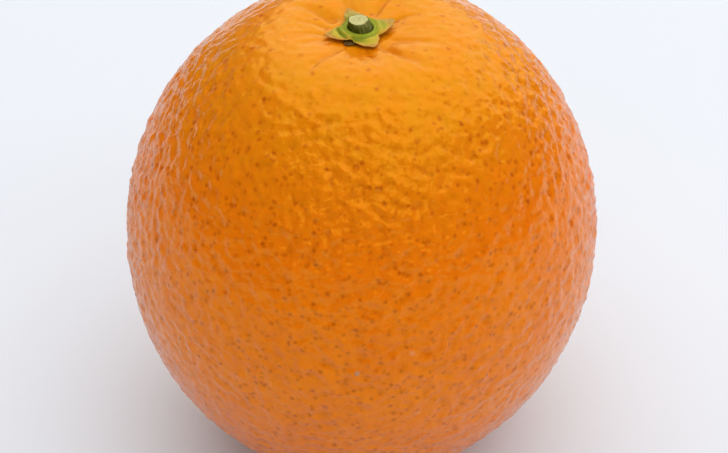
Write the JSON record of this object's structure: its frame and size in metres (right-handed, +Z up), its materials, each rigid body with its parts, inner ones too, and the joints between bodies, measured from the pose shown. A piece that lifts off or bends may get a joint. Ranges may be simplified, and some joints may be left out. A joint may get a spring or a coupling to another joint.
{
  "type": "orange",
  "caption": "Whole orange with its green calyx and a short stub of cut stem, resting on a small flat spot at the blossom end.",
  "frame": {"origin": "middle of the flat spot that the fruit rests on, at the centre of its bounding box", "axes": "+Z up along the core from the blossom end to the stem end, +X to the right of the front, and the front faces -Y"},
  "size_m": [0.0802, 0.0797, 0.0831],
  "materials": {
    "peel": "satin",
    "calyx": "matte",
    "cut_stem": "matte"
  },
  "bodies": {
    "root": {"fruit": "peel", "calyx": "calyx", "stem_stub": "cut_stem"}
  },
  "joints": []
}
